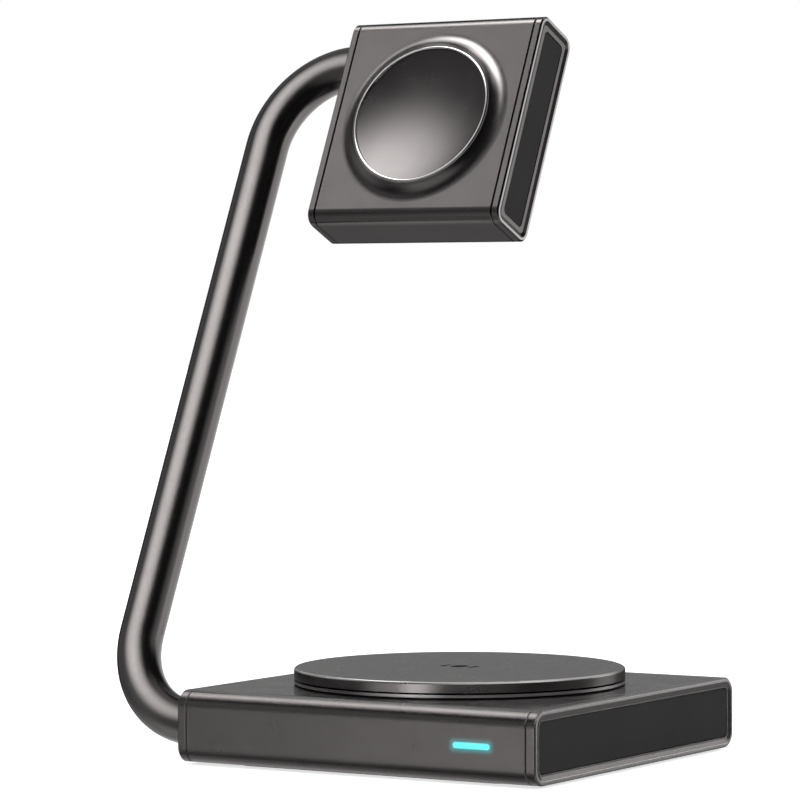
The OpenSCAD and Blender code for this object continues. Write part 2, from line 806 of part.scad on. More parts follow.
module head_left_bezel() color("#5f5a5a") difference() {
    on_head() mirror([1, 0, 0])
        bezel(head_section, head_w / 2, head_bezel, head_tongue, head_seam, left_slope_w, left_inset);
    head_port();
}

module head_right_panel() color("#2c2a2b") on_head()
    end_panel(head_section, head_w / 2, head_bezel, head_inset);

module head_left_panel() color("#2c2a2b") difference() {
    on_head() mirror([1, 0, 0]) end_panel(head_section, head_w / 2, head_bezel, left_inset);
    head_port();
}

// The hole in the head's left end, where the tube goes in
module head_port() on_arm() translate([left_x - past, 0, arm_len]) rotate([0, 90, 0])
    cylinder(r = port_r, h = head_bezel + head_tongue + 2 * past);

// The bright ring: square where it sits and round where it shows
module dish_ring() color("#dcdad8") on_face() rotate_extrude() {
    translate([ring_in_r, ring_seat]) square([ring_w, boss_h + ring_out - ring_w / 2 - ring_seat]);
    translate([ring_in_r + ring_w / 2, boss_h + ring_out - ring_w / 2]) circle(ring_w / 2);
}

// The dish: a thin hollow-faced skin, a wall through the sleeve and a flange behind it
module dish_cover() color("#5c5857") on_face() {
    rotate_extrude() difference() {
        union() {
            translate([0, -head_wall - dish_flange_t])
                square([dish_r, dish_edge + head_wall + dish_flange_t]);
            translate([0, -head_wall - dish_flange_t]) square([dish_flange_r, dish_flange_t]);
        }
        dish_circle(dish_round);
        difference() {
            translate([0, -head_wall - dish_flange_t - past])
                square([dish_r - dish_wall, dish_edge + head_wall + dish_flange_t + past]);
            dish_circle(dish_round + dish_skin);
        }
    }
}

// The right half of the circle that hollows the dish
module dish_circle(r) intersection() {
    translate([0, dish_edge - dish_sag + dish_round]) circle(r, $fn = 200);
    translate([0, -r]) square([r, 3 * r]);
}

module head_coil() color("#b06a3c") behind(coil_y) ring(head_coil_in_r, head_coil_r, 0, head_coil_t);

module head_magnet() color("#9c9fa3") behind(coil_y) cylinder(r = magnet_r, h = magnet_t);

module head_ferrite() color("#333336") behind(ferrite_y)
    cylinder(r = head_ferrite_r, h = head_ferrite_t);

// A plate behind the coil, with a wall that presses on the dish's flange and four posts
module head_chassis() color("#242324") {
    on_head() translate([-chassis_w / 2, chassis_y, chassis_low])
        cube([chassis_w, chassis_t, chassis_high - chassis_low]);
    difference() {
        behind(0) ring(head_ferrite_r + fit, dish_flange_r, coil_y - fit, chassis_y + chassis_t);
        on_head() translate([-head_w / 2, -head_t / 2, chassis_high]) cube([head_w, head_t, head_l]);
    }
    difference() {
        at_head_posts(chassis_y) cylinder(r = head_post_r, h = chassis_t + head_post_h);
        at_head_posts(chassis_y + chassis_t) cylinder(r = screw_r + fit, h = head_post_h + past);
    }
}

module head_board() color("#1f4d33") difference() {
    edge = head_post_r + head_board_edge;
    on_head() translate([-head_post_x - edge, chassis_y + chassis_t + head_post_h, head_post_low - edge])
        cube([2 * (head_post_x + edge), head_board_t, head_post_high - head_post_low + 2 * edge]);
    at_head_posts(chassis_y + chassis_t)
        cylinder(r = screw_r + fit, h = head_post_h + head_board_t + past);
}

module head_board_screws() color("#8d8f92")
    at_head_posts(chassis_y + chassis_t + head_post_h + head_board_t + screw_head_h) mirror([0, 0, 1])
        screw(head_board_t + head_bite);

// The head's hinge block fills the sleeve behind its top wall and is round below the axis
module head_block() color("#8f9195") difference() {
    union() {
        at_head_hinge() translate([0, 0, block_z]) cylinder(r = head_block_r, h = head_block_len);
        intersection() {
            on_head()
                section_bar(head_section, head_wall + fit, head_block_x, head_block_x + head_block_len);
            on_head() translate([head_block_x - past, -head_t / 2, hinge_up])
                cube([head_block_len + 2 * past, head_t, head_l / 2]);
        }
    }
    at_head_hinge() translate([0, 0, block_z - past])
        cylinder(r = bush_r, h = head_block_len + 2 * past);
}

module head_bush() color("#d8d2c0") at_head_hinge() bush(head_block_len);

module head_washer() color("#b58d4f") at_head_hinge() washer();

base_sleeve();
base_left_bezel();
base_right_bezel();
base_left_panel();
base_right_panel();
pad_cover();
pad_trim_ring();
pad_carrier();
pad_coil();
pad_ferrite();
pad_clamp();
pad_clamp_screws();
chassis_tray();
tray_screws();
counterweight();
main_board();
board_parts();
board_screws();
inlet_shell();
inlet_tongue();
light_guide();
light_board();
foot_mat();
hinge_block();
hinge_screws();
base_bush();
base_washer();
arm_tube();
base_spindle();
base_springs();
base_nut();
head_spindle();
head_springs();
head_nut();
arm_wires();
head_sleeve();
head_left_bezel();
head_right_bezel();
head_left_panel();
head_right_panel();
dish_ring();
dish_cover();
head_coil();
head_ferrite();
head_magnet();
head_chassis();
head_board();
head_board_screws();
head_block();
head_bush();
head_washer();
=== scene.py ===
import json
import math

import bmesh
import bpy
from mathutils import Matrix, Vector


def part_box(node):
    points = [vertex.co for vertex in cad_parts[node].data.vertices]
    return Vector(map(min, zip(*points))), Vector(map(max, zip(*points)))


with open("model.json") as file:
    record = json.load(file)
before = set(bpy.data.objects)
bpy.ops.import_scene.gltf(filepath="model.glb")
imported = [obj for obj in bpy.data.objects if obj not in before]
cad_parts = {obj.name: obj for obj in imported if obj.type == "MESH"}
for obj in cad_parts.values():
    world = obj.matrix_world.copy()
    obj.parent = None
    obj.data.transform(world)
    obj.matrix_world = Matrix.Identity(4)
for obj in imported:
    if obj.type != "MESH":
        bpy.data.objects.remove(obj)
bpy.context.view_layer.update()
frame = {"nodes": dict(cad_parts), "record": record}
nodes = frame["nodes"]
MM = 0.001
WHITE = (1, 1, 1, 1)


def link(obj):
    bpy.context.scene.collection.objects.link(obj)
    return obj


# The camera: fitted to the photograph's edges, in metres and degrees, for an 800-pixel frame

CAMERA_PLACE = (0.4522, -0.7567, 0.1021)
CAMERA_YAW = 31.71
CAMERA_DOWN = 1.48
CAMERA_ROLL = -0.17
CAMERA_LENS = 179.1
CAMERA_SENSOR = 36.0
CAMERA_NEAR = 0.01
CAMERA_FAR = 20


def add_camera():
    data = bpy.data.cameras.new("photo_camera")
    data.lens = CAMERA_LENS
    data.sensor_width = CAMERA_SENSOR
    data.clip_start = CAMERA_NEAR
    data.clip_end = CAMERA_FAR
    camera = bpy.data.objects.new("photo_camera", data)
    turn = Matrix.Rotation(math.radians(CAMERA_YAW), 4, "Z")
    tip = Matrix.Rotation(math.radians(90 - CAMERA_DOWN), 4, "X")
    roll = Matrix.Rotation(math.radians(CAMERA_ROLL), 4, "Z")
    camera.matrix_world = Matrix.Translation(CAMERA_PLACE) @ turn @ tip @ roll
    bpy.context.scene.camera = link(camera)


# Places, sizes and colours that the finishes follow, in metres

MOUNTS = {mount["name"]: mount for mount in frame["record"]["mounts"]}

# The dish is hollow like the inside of a ball of radius DISH_ROUND. Within DISH_NEAR of that
# ball a point belongs to its face.
DISH_SEAT = Vector(MOUNTS["dish_seat"]["pos_m"])
DISH_AXIS = Vector(MOUNTS["dish_seat"]["axis"])
DISH_DEEP = 1.345 * MM
DISH_ROUND = 68.24 * MM
DISH_NEAR = 0.1 * MM

# Sharp edges of small parts, and the lips at both ends of each bezel with their painted highlight
EDGE_ROUND = 0.15 * MM
EDGE_SAMPLES = 6
BEZELS = ("base_left_bezel", "base_right_bezel", "head_left_bezel", "head_right_bezel")
LIP_ENDS = tuple(corner.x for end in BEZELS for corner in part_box(end))
LIP_DEEP = 0.02 * MM
LIP_HIGHLIGHT_COLOUR = (0.4, 0.39, 0.385, 1)
LIP_ROUGH = 0.2

# The light bar in the base's front, and its spill painted on the metal as a glow
LIGHT_MIDDLE = (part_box("light_guide")[0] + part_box("light_guide")[1]) / 2
LIGHT_HALF_WIDE = 4.2 * MM
LIGHT_HALF_HIGH = 0.4 * MM
LIGHT_COLOUR = (0.06, 0.72, 0.76, 1)
LIGHT_BODY_COLOUR = (0.1, 0.3, 0.3, 1)
LIGHT_ROUGH = 0.3
LIGHT_WEAKEST = 0.78
LIGHT_STRONGEST = 0.95
BASE_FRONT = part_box("base_sleeve")[0].y
FRONT_DEEP = 0.5 * MM
HALO_REACH = 2.0 * MM
HALO_FALL = 2.0
HALO_LIGHT = 0.3

# The pad: its rounded edge, and the painted highlight line just inside it. The pad's own normal stands in
# beyond PAD_OUT_PART of the rounding outward, and beyond PAD_UP_PART of it upward.
PAD_MIDDLE = Vector(MOUNTS["pad_face"]["pos_m"])
PAD_RADIUS = (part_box("pad_cover")[1].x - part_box("pad_cover")[0].x) / 2
PAD_ROUND = 0.6 * MM
PAD_OUT_PART = 0.5
PAD_UP_PART = 0.9
RIM_WIDE = 0.42 * MM
RIM_SOFT = 0.1 * MM
RIM_HIGHLIGHT_COLOUR = (0.5, 0.485, 0.48, 1)

# The mark printed in the pad's middle: a dot between two arcs, stretched from front to back. Its
# ink reaches no further than MARK_UNDER below the pad's face.
MARK_DEEPER = 1.25
MARK_DOT = 1.9 * MM
MARK_RING = 3.7 * MM
MARK_ARC = math.radians(26)
MARK_LINE = 0.62 * MM
MARK_SOFT = 0.08 * MM
MARK_UNDER = 0.1 * MM
MARK_COLOUR = (0.02, 0.02, 0.02, 1)
MARK_ROUGH = 0.8

# The noises in every finish. Most of a noise's values lie between NOISE_LOW and NOISE_HIGH.
NOISE_LOW = 0.3
NOISE_HIGH = 0.7
COLOUR_NOISE = {"scale": 45.0, "detail": 3.0}
ROUGH_NOISE = {"scale": 160.0, "detail": 4.0, "roughness": 0.6}
GRAIN_NOISE = {"detail": 2.0, "roughness": 0.6}
LIGHT_NOISE = {"scale": 300.0}
ROUGH_LEAST = 0.02


class Nodes:
    """A short way to build the node tree of a material or of the world."""

    def __init__(self, owner, output="ShaderNodeOutputMaterial"):
        self.owner = owner
        self.owner.use_nodes = True
        self.tree = self.owner.node_tree
        self.tree.nodes.clear()
        self.output = self.add(output)

    def add(self, kind, settings=None, **values):
        node = self.tree.nodes.new(kind)
        for key, value in (settings or {}).items():
            setattr(node, key, value)
        for key, value in values.items():
            self.put(node.inputs[key.replace("_", " ")], value)
        return node

    def put(self, socket, value):
        if isinstance(value, bpy.types.NodeSocket):
            self.tree.links.new(value, socket)
        else:
            socket.default_value = value

    def show(self, shader):
        self.put(self.output.inputs["Surface"], shader)

    def place(self):
        return self.add("ShaderNodeTexCoord").outputs["Object"]

    def axis(self, place, name):
        return self.add("ShaderNodeSeparateXYZ", Vector=place).outputs[name]

    def math(self, operation, a, b=0.0, c=None):
        node = self.add("ShaderNodeMath", {"operation": operation})
        for socket, value in zip(node.inputs, (a, b, c)):
            if value is not None:
                self.put(socket, value)
        return node.outputs[0]

    def vector(self, operation, first, second=None, **values):
        """The outputs of a calculation with vectors: Vector, or Value where it gives a number."""
        node = self.add("ShaderNodeVectorMath", {"operation": operation}, **values)
        self.put(node.inputs[0], first)
        if second is not None:
            self.put(node.inputs[1], second)
        return node.outputs

    def distance(self, across, along):
        """The distance that two steps at right angles add up to."""
        squares = [self.math("MULTIPLY", step, step) for step in (across, along)]
        return self.math("SQRT", self.math("ADD", *squares))

    def beyond(self, value, low, high):
        """How far a value lies outside a span."""
        under = self.math("SUBTRACT", low, value)
        over = self.math("SUBTRACT", value, high)
        return self.math("MAXIMUM", self.math("MAXIMUM", under, over), 0.0)

    def spread(self, value, low, high, to_low=0.0, to_high=1.0, smooth=False):
        kind = "SMOOTHSTEP" if smooth else "LINEAR"
        node = self.add("ShaderNodeMapRange", {"interpolation_type": kind, "clamp": True})
        for key, number in zip(("Value", "From Min", "From Max", "To Min", "To Max"),
                               (value, low, high, to_low, to_high)):
            self.put(node.inputs[key], number)
        return node.outputs["Result"]

    def noise(self, place, scale, detail=2.0, roughness=0.5):
        node = self.add("ShaderNodeTexNoise", Vector=place, Scale=scale, Detail=detail, Roughness=roughness)
        return node.outputs["Fac"]

    def blend(self, factor, first, second):
        """Goes from the first colour or number to the second as the factor goes from 0 to 1."""
        colours = isinstance(second, tuple)
        node = self.add("ShaderNodeMix", {"data_type": "RGBA" if colours else "FLOAT"}, Factor=factor)
        ends = (6, 7) if colours else (2, 3)
        self.put(node.inputs[ends[0]], first)
        self.put(node.inputs[ends[1]], second)
        return node.outputs[2 if colours else 0]

    def tint(self, colour, factor, low, high):
        """The colour times a noise that is made to run from low to high."""
        scale = self.spread(factor, NOISE_LOW, NOISE_HIGH, low, high)
        return self.vector("SCALE", colour, Scale=scale)["Vector"]

    def own_normal(self, direction, where):
        """The mesh's normal, but the object's given direction where the factor is 1."""
        turned = self.add("ShaderNodeVectorTransform", {"vector_type": "NORMAL", "convert_from": "OBJECT",
                                                        "convert_to": "WORLD"}, Vector=direction)
        mix = self.add("ShaderNodeMix", {"data_type": "VECTOR"}, Factor=where)
        self.put(mix.inputs[4], self.add("ShaderNodeNewGeometry").outputs["Normal"])
        self.put(mix.inputs[5], turned.outputs["Vector"])
        return mix.outputs[1]

    def add_shaders(self, first, second):
        both = self.add("ShaderNodeAddShader")
        self.put(both.inputs[0], first)
        self.put(both.inputs[1], second)
        return both.outputs[0]

    def background_ray(self):
        """1 for the rays that show the background: the camera's, metal's and glass's."""
        ray = self.add("ShaderNodeLightPath").outputs
        seen = self.math("MAXIMUM", ray["Is Camera Ray"], ray["Is Glossy Ray"])
        return self.math("MAXIMUM", seen, ray["Is Transmission Ray"])


# Normals and paints that some of the finishes have

def bowl_normal(n, place):
    """The dish's own round normal, so that its mesh's narrow triangles don't show in the gloss."""
    centre = DISH_SEAT + DISH_AXIS * (DISH_ROUND - DISH_DEEP)
    to_centre = n.vector("SUBTRACT", centre, place)["Vector"]
    length = n.vector("LENGTH", to_centre)["Value"]
    return n.own_normal(to_centre, n.math("COMPARE", length, DISH_ROUND, DISH_NEAR))


def pad_normal(n, place):
    """The pad's own normal over its top, rounded edge and side, for the same reason."""
    beside = n.math("SUBTRACT", n.axis(place, "X"), PAD_MIDDLE.x)
    before = n.math("SUBTRACT", n.axis(place, "Y"), PAD_MIDDLE.y)
    radius = n.distance(beside, before)
    out = n.math("MAXIMUM", n.math("SUBTRACT", radius, PAD_RADIUS - PAD_ROUND), 0.0)
    outward = n.math("DIVIDE", out, radius)
    upward = n.math("MAXIMUM", n.math("SUBTRACT", n.axis(place, "Z"), PAD_MIDDLE.z - PAD_ROUND), 0.0)
    joined = n.add("ShaderNodeCombineXYZ", X=n.math("MULTIPLY", beside, outward),
                   Y=n.math("MULTIPLY", before, outward), Z=upward)
    at_side = n.math("GREATER_THAN", out, PAD_OUT_PART * PAD_ROUND)
    at_top = n.math("GREATER_THAN", upward, PAD_UP_PART * PAD_ROUND)
    return n.own_normal(joined.outputs["Vector"], n.math("MAXIMUM", at_side, at_top))


def edge_normal(n, place):
    """Rounds the sharp edges of a small part, so that they catch a thin line of light."""
    return n.add("ShaderNodeBevel", {"samples": EDGE_SAMPLES}, Radius=EDGE_ROUND).outputs["Normal"]


def lip_highlight(n, place, shader, colour, roughness):
    """The flat lip at each end of a bezel is smoother, and a lighter colour is painted on it as a highlight.
    """
    x = n.axis(place, "X")
    lip = 0.0
    for end in LIP_ENDS:
        lip = n.math("MAXIMUM", n.math("COMPARE", x, end, LIP_DEEP), lip)
    # Painted highlight: the lips take a lighter colour than the rest of the bezel.
    return n.blend(lip, colour, LIP_HIGHLIGHT_COLOUR), n.blend(lip, roughness, LIP_ROUGH)


def painted_halo(n, place, shader, colour, roughness):
    """A painted glow: the light bar's spill, drawn as light given off by the metal around it."""
    across = n.beyond(n.axis(place, "X"), LIGHT_MIDDLE.x - LIGHT_HALF_WIDE, LIGHT_MIDDLE.x + LIGHT_HALF_WIDE)
    upward = n.beyond(n.axis(place, "Z"), LIGHT_MIDDLE.z - LIGHT_HALF_HIGH, LIGHT_MIDDLE.z + LIGHT_HALF_HIGH)
    spill = n.spread(n.distance(across, upward), 0, HALO_REACH, 1.0, 0.0, smooth=True)
    spill = n.math("MULTIPLY", n.math("POWER", spill, HALO_FALL), HALO_LIGHT)
    on_front = n.math("LESS_THAN", n.axis(place, "Y"), BASE_FRONT + FRONT_DEEP)
    # Painted light: the metal itself glows in the light bar's colour near the bar.
    n.put(shader.inputs["Emission Color"], LIGHT_COLOUR)
    n.put(shader.inputs["Emission Strength"], n.math("MULTIPLY", spill, on_front))
    return colour, roughness


def pad_print_and_highlight(n, place, shader, colour, roughness):
    """A printed dot between arcs in the middle of the pad, and a painted highlight line round its edge."""
    across = n.math("SUBTRACT", n.axis(place, "X"), PAD_MIDDLE.x)
    depth = n.math("SUBTRACT", n.axis(place, "Y"), PAD_MIDDLE.y)
    height = n.axis(place, "Z")
    radius = n.distance(across, n.math("DIVIDE", depth, MARK_DEEPER))
    dot = n.spread(radius, MARK_DOT - MARK_SOFT, MARK_DOT + MARK_SOFT, 1.0, 0.0)
    off_ring = n.math("ABSOLUTE", n.math("SUBTRACT", radius, MARK_RING))
    ring = n.spread(off_ring, MARK_LINE - MARK_SOFT, MARK_LINE + MARK_SOFT, 1.0, 0.0)
    arc_side = n.math("MULTIPLY", radius, math.cos(MARK_ARC))
    beside = n.math("GREATER_THAN", n.math("ABSOLUTE", across), arc_side)
    ink = n.math("MAXIMUM", dot, n.math("MULTIPLY", ring, beside))
    ink = n.math("MULTIPLY", ink, n.math("GREATER_THAN", height, PAD_MIDDLE.z - MARK_UNDER))
    near_edge = n.spread(n.distance(across, depth), PAD_RADIUS - RIM_WIDE - RIM_SOFT, PAD_RADIUS - RIM_WIDE)
    near_top = n.spread(height, PAD_MIDDLE.z - RIM_WIDE - RIM_SOFT, PAD_MIDDLE.z - RIM_WIDE)
    # Painted highlight: a lighter band of colour round the pad's top edge.
    colour = n.blend(n.math("MULTIPLY", near_edge, near_top), colour, RIM_HIGHLIGHT_COLOUR)
    n.put(shader.inputs["Metallic"], n.math("SUBTRACT", 1.0, ink))
    return n.blend(ink, colour, MARK_COLOUR), n.blend(ink, roughness, MARK_ROUGH)


# Finishes: sizes of grain are in millimetres

def surface(name, colour, rough, metal=0.0, mottle=0.05, grain=0.02, grain_size=0.25, rough_spread=0.025,
            normal=None, paint=None, **extra):
    """A finish with slow colour variation, uneven roughness and a fine grain in its bump."""
    n = Nodes(bpy.data.materials.new(name))
    place = n.place()
    colour_out = n.tint(colour, n.noise(place, **COLOUR_NOISE), 1 - mottle, 1 + mottle)
    roughness = n.spread(n.noise(place, **ROUGH_NOISE), NOISE_LOW, NOISE_HIGH,
                         max(rough - rough_spread, ROUGH_LEAST), rough + rough_spread)
    fine = n.noise(place, scale=1.0 / (grain_size * MM), **GRAIN_NOISE)
    bump = n.add("ShaderNodeBump", Strength=1.0, Distance=grain * MM, Height=fine)
    if normal:
        n.put(bump.inputs["Normal"], normal(n, place))
    shader = n.add("ShaderNodeBsdfPrincipled", Metallic=metal, Normal=bump.outputs["Normal"], **extra)
    if paint:
        colour_out, roughness = paint(n, place, shader, colour_out, roughness)
    n.put(shader.inputs["Base Color"], colour_out)
    n.put(shader.inputs["Roughness"], roughness)
    n.show(shader.outputs["BSDF"])
    return n.owner


def light_material():
    n = Nodes(bpy.data.materials.new("light_lit"))
    slow = n.noise(n.place(), **LIGHT_NOISE)
    strength = n.spread(slow, NOISE_LOW, NOISE_HIGH, LIGHT_WEAKEST, LIGHT_STRONGEST)
    shader = n.add("ShaderNodeBsdfPrincipled", Base_Color=LIGHT_BODY_COLOUR, Roughness=LIGHT_ROUGH,
                   Emission_Color=LIGHT_COLOUR, Emission_Strength=strength)
    n.show(shader.outputs["BSDF"])
    return n.owner


def finishes():
    """One material for each material slot in the record."""
    gunmetal = (0.165, 0.155, 0.152)
    return {
        "sleeve_metal": surface("gunmetal_blasted", gunmetal, rough=0.25, metal=1.0, grain=0.003,
                                grain_size=0.18, paint=painted_halo),
        "bezel_metal": surface("gunmetal_bezel", gunmetal, rough=0.25, metal=1.0, grain=0.003,
                               grain_size=0.15, normal=edge_normal, paint=lip_highlight),
        "panel_black": surface("panel_black", (0.03, 0.0285, 0.029), rough=0.4, grain=0.004,
                               grain_size=0.2, normal=edge_normal, Specular_IOR_Level=0.03),
        "pad_top": surface("pad_satin", gunmetal, rough=0.28, metal=1.0, mottle=0.03, grain=0.001,
                           grain_size=0.16, rough_spread=0.01, normal=pad_normal, paint=pad_print_and_highlight,
                           Specular_IOR_Level=0.0),
        "trim_bright": surface("trim_turned", (0.42, 0.405, 0.4), rough=0.36, metal=1.0, grain=0.002),
        "tube_metal": surface("tube_satin", gunmetal, rough=0.22, metal=1.0, grain=0.002, grain_size=0.2),
        "dish_gloss": surface("dish_gloss", (0.108, 0.101, 0.1), rough=0.25, metal=1.0, grain=0.0005,
                              normal=bowl_normal),
        "ring_chrome": surface("ring_polished", (0.82, 0.8, 0.79), rough=0.09, metal=1.0, grain=0.001),
        "black_plastic": surface("black_moulded", (0.02, 0.02, 0.021), rough=0.5, grain=0.01),
        "copper_coil": surface("coil_copper", (0.62, 0.29, 0.15), rough=0.3, metal=1.0, grain=0.02),
        "ferrite": surface("ferrite_pressed", (0.045, 0.045, 0.05), rough=0.6, grain=0.02),
        "steel": surface("steel_plain", (0.5, 0.5, 0.51), rough=0.3, metal=1.0, grain=0.004),
        "circuit_board": surface("board_green", (0.03, 0.12, 0.06), rough=0.35, grain=0.006),
        "rubber": surface("rubber_mat", (0.02, 0.02, 0.02), rough=0.75, grain=0.03, grain_size=0.5),
        "bush_plastic": surface("bush_plastic", (0.6, 0.56, 0.46), rough=0.45, grain=0.004),
        "bronze": surface("bronze_plain", (0.5, 0.33, 0.14), rough=0.35, metal=1.0, grain=0.004),
        "light": light_material(),
    }


def dress_cad():
    """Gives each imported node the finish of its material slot."""
    made = finishes()
    for part in frame["record"]["subparts"]:
        node = nodes[part["node"]]
        node.data.materials.clear()
        node.data.materials.append(made[part["material_slot"]])


# The stage: floor, tents of studio cards, lamps and world

FLOOR_SIZE = 8.0
FLOOR_COLOUR = (0.8, 0.8, 0.8, 1)
FLOOR_GLOW = 0.7
WORLD_LIGHT = 0.65
WORLD_SEEN = 1.0
LAMP_TARGET = (0, 0, 0.06)
KEY_LAMP = {"place": (-0.1, -0.9, 0.95), "size": 0.7, "power": 9.0}
FILL_LAMP = {"place": (0.9, 0.3, 0.7), "size": 0.6, "power": 3.0}
TENT_RADIUS = 3.0
TENT_STEP = 0.2
TENT_SEGMENTS = 48
TENT_RINGS = 24

# FLOOD is the light between the cards. A card lights the part of its tent that lies more than
# CARD_AHEAD towards it, and CARD_LEAST_DEPTH keeps its slopes finite elsewhere.
FLOOD = 0.02
CARD_AHEAD = 0.05
CARD_LEAST_DEPTH = 0.01

# The studio as the metal reflects it: one set of cards for the head, one for the dish, one for the
# tube and one for the base with all the rest. A first layout was read off fits of light to the
# photograph's brightness, and the rows were rounded and then changed. Each card faces the
# object and is soft at its edges. A row says: name, azimuth and elevation of its middle in
# degrees, half width and half height as slopes, softness, light
HEAD_CARDS = (
    ("top_left", 170, 62, 0.16, 0.14, 0.07, 3),
    ("top_mid", -160, 67, 0.16, 0.14, 0.07, 7.2),
    ("top_front", -132, 74, 0.14, 0.15, 0.08, 6.5),
    ("top_right", -106, 70, 0.14, 0.14, 0.08, 5.5),
    ("high_left", -160, 84, 0.3, 0.1, 0.07, 5.0),
    ("high_front", -95, 82, 0.3, 0.1, 0.07, 1.5),
    ("front_upper", -85, 62, 0.12, 0.14, 0.07, 1.0),
    ("face_left", -170, 46, 0.16, 0.14, 0.08, 2.2),
    ("face_glow", -138, 43, 0.14, 0.12, 0.08, 1.55),
    ("face_side", -114, 42, 0.14, 0.12, 0.08, 0.35),
    ("face_low", -132, 22, 0.25, 0.14, 0.1, 0.2),
    ("front_soft", -98, -10, 0.4, 0.35, 0.2, 0.5),
    ("front_left", -150, -5, 0.16, 0.25, 0.12, 0.2),
    ("side_fill", -178, 30, 0.3, 0.16, 0.1, 0.12),
    ("left_wall", -178, -5, 0.3, 0.35, 0.25, 0.4),
    ("left_low", 168, -25, 0.35, 0.3, 0.25, 0.4),
    ("back_left", 135, 20, 0.4, 0.3, 0.2, 0.15),
    ("back_right", 46, 4, 0.42, 0.12, 0.09, 1.3),
    ("back_top", 75, 60, 0.3, 0.25, 0.15, 0.9),
    ("under_back", 138, -42, 0.35, 0.25, 0.2, 0.2),
    ("front_low", -125, -25, 0.3, 0.2, 0.15, 0.2),
    ("low_back", 48, -24, 0.14, 0.14, 0.1, 0.6),
    ("floor_back", 150, -70, 0.5, 0.3, 0.25, 0.6),
    ("floor_right", 0, -45, 0.7, 0.4, 0.3, 0.5),
    ("floor_left", -160, -45, 0.4, 0.3, 0.2, 0.35),
    ("wall_back", 100, 4, 0.5, 0.3, 0.22, 0.5),
    ("wall_left", -157, 10, 0.2, 0.2, 0.15, 0.2),
)
BASE_CARDS = (
    ("shoulder_left", 160, 56, 0.3, 0.2, 0.15, 1.8),
    ("shoulder_front", -160, 60, 0.25, 0.16, 0.12, 1.6),
    ("zenith", 120, 84, 0.6, 0.3, 0.3, 1.2),
    ("front_box", -89, -4, 0.16, 0.2, 0.14, 4.2),
    ("front_glow", -114, -9, 0.17, 0.26, 0.13, 1.05),
    ("front_left", -155, -18, 0.3, 0.2, 0.1, 0.5),
    ("front_above", -135, 22, 0.3, 0.2, 0.15, 0.3),
    ("front_low", -120, -32, 0.4, 0.18, 0.12, 0.2),
    ("front_right", -45, -4, 0.4, 0.2, 0.15, 0.25),
    ("back_left", 125, 8, 0.3, 0.2, 0.15, 0.3),
    ("back_high", 125, 35, 0.3, 0.16, 0.12, 0.45),
    ("back_right", 59, 5, 0.24, 0.17, 0.11, 1.5),
    ("back_top", 60, 48, 1.0, 0.35, 0.3, 0.55),
    ("under_back", 140, -45, 0.35, 0.25, 0.2, 0.2),
    ("left_low", 175, -45, 0.5, 0.35, 0.3, 0.2),
    ("floor_right", 15, -42, 0.9, 0.45, 0.25, 0.5),
    ("floor_left", 165, -38, 0.55, 0.4, 0.25, 0.4),
    ("floor_back", 98, -28, 0.6, 0.3, 0.2, 0.35),
    ("wall_right", 25, 2, 0.25, 0.3, 0.2, 0.12),
    ("over_front", -30, 48, 0.8, 0.4, 0.35, 0.6),
    ("ring_left", 170, 28, 0.7, 0.3, 0.2, 0.5),
    ("ring_right", -25, 32, 0.8, 0.3, 0.2, 0.5),
    ("ring_back", 70, 26, 0.5, 0.25, 0.15, 0.45),
)
DISH_CARDS = (
    ("dish_main", -145, 71, 0.28, 0.42, 0.25, 6.6),
    ("dish_low", -140, 28, 0.6, 0.3, 0.25, 0.2),
    ("dish_side", 0, 40, 0.5, 0.5, 0.4, 0.6),
    ("dish_back", 110, 35, 0.5, 0.5, 0.4, 0.6),
    ("dish_front", -100, -15, 0.7, 0.35, 0.25, 0.6),
)
TUBE_CARDS = (
    ("tube_strip", -107, 47, 0.54, 0.48, 0.46, 3.3),
    ("tube_right", 80, -25, 1.3, 1.0, 0.45, 1.0),
    ("tube_turn", 24, -5, 0.35, 0.7, 0.3, 0.4),
    ("tube_left", 178, -45, 0.8, 0.5, 0.4, 0.6),
    ("tube_front", -122, -12, 0.7, 0.7, 0.4, 0.2),
    ("tube_side", -170, 12, 0.5, 0.4, 0.3, 0.22),
    ("tube_high", 140, 45, 0.5, 0.4, 0.3, 0.25),
    ("tube_zenith", 150, 80, 0.35, 0.25, 0.2, 0.3),
)


def add_floor():
    """A pale floor that looks white to the camera and keeps the object's shadow."""
    mesh = bpy.data.meshes.new("floor")
    half = FLOOR_SIZE / 2
    corners = [(-half, -half, 0), (half, -half, 0), (half, half, 0), (-half, half, 0)]
    mesh.from_pydata(corners, [], [(0, 1, 2, 3)])
    floor = link(bpy.data.objects.new("floor", mesh))
    n = Nodes(bpy.data.materials.new("floor_pale"))
    diffuse = n.add("ShaderNodeBsdfDiffuse", Color=FLOOR_COLOUR)
    strength = n.math("MULTIPLY", n.background_ray(), FLOOR_GLOW)
    glow = n.add("ShaderNodeEmission", Color=WHITE, Strength=strength)
    n.show(n.add_shaders(diffuse.outputs[0], glow.outputs[0]))
    floor.data.materials.append(n.owner)
    floor.visible_glossy = False


def card_light(n, place, azimuth, elevation, half_wide, half_high, soft, light):
    """A soft-edged rectangle of light that faces the middle of its tent."""

    def along(direction):
        return n.vector("DOT_PRODUCT", place, direction)["Value"]

    def band(value, half):
        return n.spread(n.math("ABSOLUTE", value), half - soft, half + soft, 1.0, 0.0, smooth=True)

    turn = math.radians(azimuth)
    rise = math.radians(elevation)
    front = Vector((math.cos(rise) * math.cos(turn), math.cos(rise) * math.sin(turn), math.sin(rise)))
    right = Vector((-math.sin(turn), math.cos(turn), 0))
    up = front.cross(right)
    depth = along(front)
    slope_depth = n.math("MAXIMUM", depth, CARD_LEAST_DEPTH)
    across = band(n.math("DIVIDE", along(right), slope_depth), half_wide)
    upward = band(n.math("DIVIDE", along(up), slope_depth), half_high)
    shape = n.math("MULTIPLY", n.math("MULTIPLY", across, upward), n.math("GREATER_THAN", depth, CARD_AHEAD))
    return n.math("MULTIPLY", shape, light)


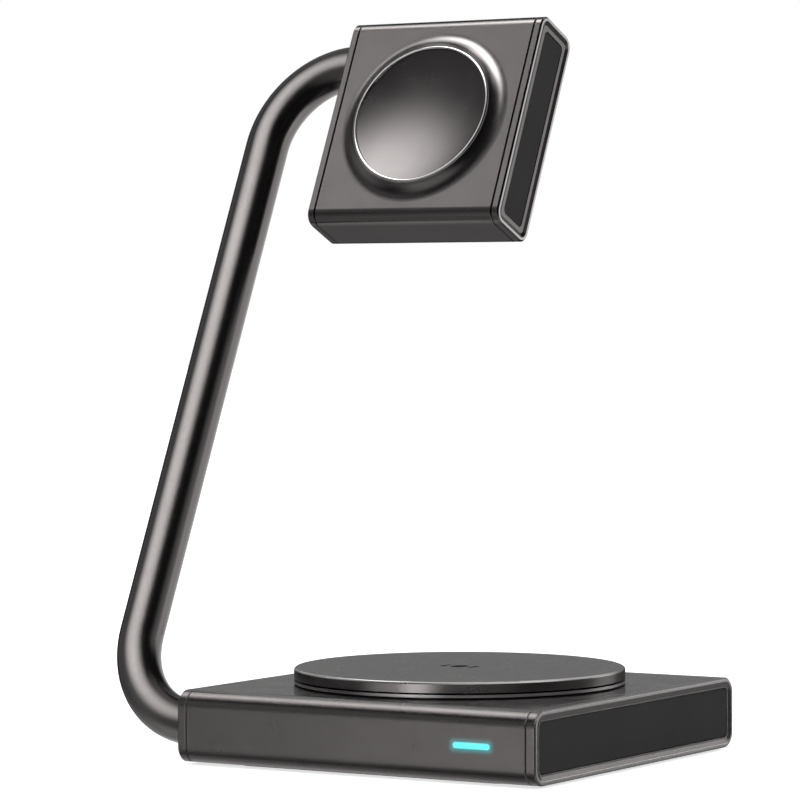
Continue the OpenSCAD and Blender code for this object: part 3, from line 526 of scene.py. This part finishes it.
def tent_material(name, cards, outermost):
    """The cards' light. An inner tent is clear, so that the ones outside it show through."""
    n = Nodes(bpy.data.materials.new(name))
    place = n.place()
    total = FLOOD
    for card_name, *numbers in cards:
        light = card_light(n, place, *numbers)
        light.node.label = card_name
        total = n.math("ADD", light, total)
    shown = n.add("ShaderNodeEmission", Color=WHITE, Strength=total).outputs[0]
    if not outermost:
        shown = n.add_shaders(shown, n.add("ShaderNodeBsdfTransparent").outputs[0])
    n.show(shown)
    return n.owner


def add_tent(name, cards, radius, linked, outermost=False):
    """A large round tent that only reflections see, with bright cards and dark gaps between them.

    It lights the linked nodes alone. The outermost tent lights all but them.
    """
    mesh = bpy.data.meshes.new(name)
    made = bmesh.new()
    bmesh.ops.create_uvsphere(made, u_segments=TENT_SEGMENTS, v_segments=TENT_RINGS, radius=radius)
    made.to_mesh(mesh)
    made.free()
    tent = link(bpy.data.objects.new(name, mesh))
    group = bpy.data.collections.new(name + "_receivers")
    for node in linked:
        group.objects.link(nodes[node])
    for item in group.collection_objects:
        item.light_linking.link_state = "EXCLUDE" if outermost else "INCLUDE"
    tent.light_linking.receiver_collection = group
    tent.data.materials.append(tent_material(name + "_cards", cards, outermost))
    for kind in ("camera", "diffuse", "transmission", "volume_scatter", "shadow"):
        setattr(tent, "visible_" + kind, False)


def add_lamp(name, place, size, power):
    data = bpy.data.lights.new(name, "AREA")
    data.shape = "SQUARE"
    data.size = size
    data.energy = power
    lamp = link(bpy.data.objects.new(name, data))
    lamp.location = place
    lamp.rotation_euler = (Vector(LAMP_TARGET) - Vector(place)).to_track_quat("-Z", "Y").to_euler()
    lamp.visible_glossy = False


def add_world():
    world = bpy.data.worlds.new("studio")
    bpy.context.scene.world = world
    n = Nodes(world, "ShaderNodeOutputWorld")
    strength = n.spread(n.background_ray(), 0.0, 1.0, WORLD_LIGHT, WORLD_SEEN)
    n.show(n.add("ShaderNodeBackground", Color=WHITE, Strength=strength).outputs[0])


def add_stage():
    add_floor()
    head = [name for name in nodes if name.startswith("head_") or name == "dish_ring"]
    others = head + ["dish_cover", "arm_tube"]
    add_tent("head_tent", HEAD_CARDS, TENT_RADIUS, head)
    add_tent("dish_tent", DISH_CARDS, TENT_RADIUS + TENT_STEP, ["dish_cover"])
    add_tent("tube_tent", TUBE_CARDS, TENT_RADIUS + 2 * TENT_STEP, ["arm_tube"])
    add_tent("base_tent", BASE_CARDS, TENT_RADIUS + 3 * TENT_STEP, others, outermost=True)
    add_lamp("key_lamp", **KEY_LAMP)
    add_lamp("fill_lamp", **FILL_LAMP)
    add_world()
    bpy.context.scene.view_settings.view_transform = "Standard"


add_camera()
dress_cad()
add_stage()
